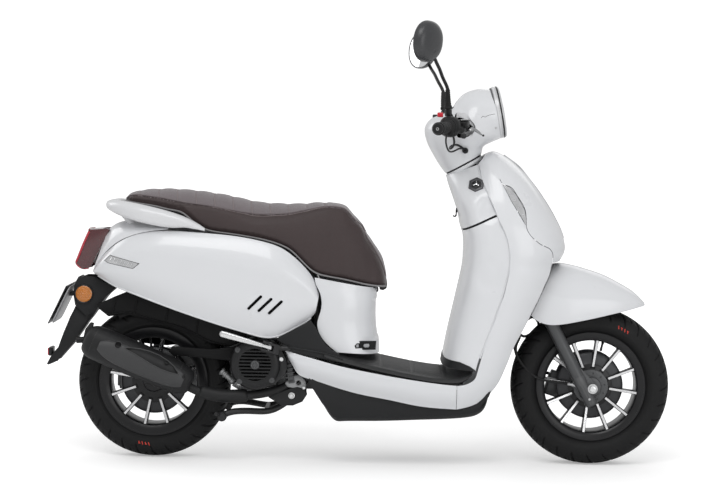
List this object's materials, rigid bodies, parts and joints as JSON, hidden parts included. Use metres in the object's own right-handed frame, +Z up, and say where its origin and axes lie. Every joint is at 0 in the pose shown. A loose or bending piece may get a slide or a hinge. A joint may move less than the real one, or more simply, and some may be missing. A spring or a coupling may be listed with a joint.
{
  "type": "moped scooter",
  "caption": "Step-through moped scooter with enclosed bodywork, a long seat, spoked wheels, telescopic fork, swinging engine unit and folding stand and footrests.",
  "frame": {"origin": "on the ground in the centre plane, under the middle of the overall length", "axes": "+X forward, +Y to the rider's left, +Z up"},
  "size_m": [1.8684, 0.7124, 1.3024],
  "materials": {
    "aluminium": "satin",
    "black_plastic": "matte, lightly grained",
    "cast_aluminium": "cast",
    "chrome": "polished",
    "clear_lens": "gloss",
    "exhaust_paint": "matte",
    "floor_rubber": "matte, ribbed",
    "frame_paint": "satin",
    "graphite_paint": "satin",
    "plate_metal": "satin grey",
    "rail_paint": "satin silver",
    "red_lens": "gloss",
    "red_switch": "gloss",
    "rubber": "matte",
    "seat_cover": "matte, dark brown",
    "spring_paint": "satin",
    "steel": "brushed",
    "tyre": "matte",
    "wheel_paint": "satin, machined spoke faces",
    "white_body": "gloss"
  },
  "bodies": {
    "frame": {"frame": "frame_paint", "front_shield": "white_body", "lower_fairings": "white_body", "lenses": "clear_lens", "inner_shield": "white_body", "floorboard": "floor_rubber", "belly_pan": "black_plastic", "side_panels": "white_body", "tail_lamp": "red_lens", "under_seat_cover": "white_body", "grab_rail": "rail_paint", "rear_fender": "black_plastic", "plate_bracket": "plate_metal", "storage_bucket": "black_plastic", "fuel_tank": "frame_paint", "frame_fittings": "steel"},
    "steering": {"steering_stem_yoke": "steel", "front_fender": "white_body", "handlebar": "frame_paint", "handlebar_cover": "white_body", "headlamp": "chrome", "bar_controls": "black_plastic", "left_grip": "rubber", "cables": "rubber", "mirror_stems": "frame_paint"},
    "throttle": {"throttle_grip": "rubber"},
    "brake_lever_right": {"brake_lever_right": "aluminium"},
    "brake_lever_left": {"brake_lever_left": "aluminium"},
    "mirror_right": {"mirror_head_right": "black_plastic"},
    "mirror_left": {"mirror_head_left": "black_plastic"},
    "kill_switch": {"kill_switch": "red_switch"},
    "starter_button": {"starter_button": "black_plastic"},
    "horn_button": {"horn_button": "black_plastic"},
    "indicator_switch": {"indicator_switch": "black_plastic"},
    "beam_switch": {"beam_switch": "black_plastic"},
    "fork": {"fork_sliders": "graphite_paint", "front_axle": "steel", "front_caliper": "graphite_paint"},
    "front_wheel": {"front_rim": "wheel_paint", "front_tyre": "tyre", "front_brake_disc": "steel"},
    "engine": {"crankcase": "cast_aluminium", "transmission_cover": "black_plastic", "fan_cover": "black_plastic", "cylinder": "cast_aluminium", "exhaust": "exhaust_paint", "rear_hugger": "black_plastic"},
    "crankshaft": {"crankshaft_fan": "steel"},
    "rear_wheel": {"rear_rim": "wheel_paint", "rear_tyre": "tyre"},
    "kick_lever": {"kick_lever": "steel"},
    "centre_stand": {"centre_stand": "frame_paint"},
    "shock_upper": {"shock_body": "frame_paint"},
    "shock_lower": {"shock_rod": "steel", "shock_spring": "spring_paint"},
    "footrest_right": {"footrest_right": "aluminium"},
    "footrest_left": {"footrest_left": "aluminium"},
    "ignition_key": {"ignition_barrel": "chrome"},
    "seat": {"seat_cushion": "seat_cover", "seat_pan": "black_plastic"}
  },
  "joints": [
    {"name": "steering", "type": "hinge", "parent": "frame", "child": "steering", "pos_m": [0.4523, 0, 0.6598], "axis": [-0.4617, 0, 0.887], "range_deg": [-40, 40]},
    {"name": "fork_travel", "type": "slide", "parent": "steering", "child": "fork", "axis": [-0.4617, 0, 0.887], "range_m": [-0.015, 0.055], "deforming": ["cables"]},
    {"name": "front_wheel_spin", "type": "hinge", "parent": "fork", "child": "front_wheel", "pos_m": [0.6978, 0, 0.2364], "axis": [0, 1, 0], "continuous": true},
    {"name": "throttle", "type": "hinge", "parent": "steering", "child": "throttle", "pos_m": [0.23725, -0.2731, 0.99932], "axis": [-0.2458, -0.9683, -0.0447], "range_deg": [0, 75]},
    {"name": "brake_lever_right", "type": "hinge", "parent": "steering", "child": "brake_lever_right", "pos_m": [0.318, -0.186, 0.988], "axis": [0, 0, 1], "range_deg": [0, 12]},
    {"name": "brake_lever_left", "type": "hinge", "parent": "steering", "child": "brake_lever_left", "pos_m": [0.318, 0.186, 0.988], "axis": [0, 0, -1], "range_deg": [0, 12]},
    {"name": "mirror_tilt_right", "type": "hinge", "parent": "steering", "child": "mirror_right", "pos_m": [0.201, -0.292, 1.213], "axis": [0, 0, 1], "range_deg": [-12, 12]},
    {"name": "mirror_tilt_left", "type": "hinge", "parent": "steering", "child": "mirror_left", "pos_m": [0.201, 0.292, 1.213], "axis": [0, 0, 1], "range_deg": [-12, 12]},
    {"name": "kill_switch_press", "type": "slide", "parent": "steering", "child": "kill_switch", "axis": [0.6931, -0.1433, -0.7064], "range_m": [0, 0.003]},
    {"name": "starter_press", "type": "slide", "parent": "steering", "child": "starter_button", "axis": [0.9693, -0.246, 0], "range_m": [0, 0.003]},
    {"name": "horn_press", "type": "slide", "parent": "steering", "child": "horn_button", "axis": [0.9693, 0.246, 0], "range_m": [0, 0.003]},
    {"name": "indicator_press", "type": "slide", "parent": "steering", "child": "indicator_switch", "axis": [0.9693, 0.246, 0], "range_m": [0, 0.003]},
    {"name": "beam_press", "type": "slide", "parent": "steering", "child": "beam_switch", "axis": [0.782, 0.1708, -0.5994], "range_m": [0, 0.003]},
    {"name": "engine_swing", "type": "hinge", "parent": "frame", "child": "engine", "pos_m": [-0.15, 0, 0.245], "axis": [0, 1, 0], "range_deg": [-2, 4]},
    {"name": "crankshaft_spin", "type": "hinge", "parent": "engine", "child": "crankshaft", "pos_m": [-0.299, 0, 0.297], "axis": [0, 1, 0], "continuous": true},
    {"name": "rear_wheel_spin", "type": "hinge", "parent": "engine", "child": "rear_wheel", "pos_m": [-0.6082, 0, 0.2294], "axis": [0, 1, 0], "continuous": true},
    {"name": "kick_start", "type": "hinge", "parent": "engine", "child": "kick_lever", "pos_m": [-0.395, 0, 0.262], "axis": [0, -1, 0], "range_deg": [0, 50]},
    {"name": "centre_stand", "type": "hinge", "parent": "engine", "child": "centre_stand", "pos_m": [-0.189, 0, 0.19], "axis": [0, -1, 0], "range_deg": [0, 75]},
    {"name": "shock_swing", "type": "hinge", "parent": "frame", "child": "shock_upper", "pos_m": [-0.56, 0, 0.598], "axis": [0, 1, 0], "range_deg": [-3, 5]},
    {"name": "shock_slide", "type": "slide", "parent": "shock_upper", "child": "shock_lower", "axis": [0.1826, 0, 0.9832], "range_m": [-0.03, 0.05], "deforming": ["shock_spring"]},
    {"name": "footrest_right", "type": "hinge", "parent": "frame", "child": "footrest_right", "pos_m": [-0.256, -0.184, 0.352], "axis": [0.2588, 0, 0.9659], "range_deg": [0, 85]},
    {"name": "footrest_left", "type": "hinge", "parent": "frame", "child": "footrest_left", "pos_m": [-0.256, 0.184, 0.352], "axis": [-0.2588, 0, -0.9659], "range_deg": [0, 85]},
    {"name": "ignition_turn", "type": "hinge", "parent": "frame", "child": "ignition_key", "pos_m": [0.336, -0.11, 0.838], "axis": [0, 1, 0], "range_deg": [0, 80]},
    {"name": "seat_hinge", "type": "hinge", "parent": "frame", "child": "seat", "pos_m": [0.052, 0, 0.513], "axis": [0, 1, 0], "range_deg": [0, 60]}
  ],
  "couplings": [
    {"joint": "shock_swing", "follows": "engine_swing", "ratio": 0.001912},
    {"joint": "shock_slide", "follows": "engine_swing", "m_per_rad": 0.46755}
  ]
}
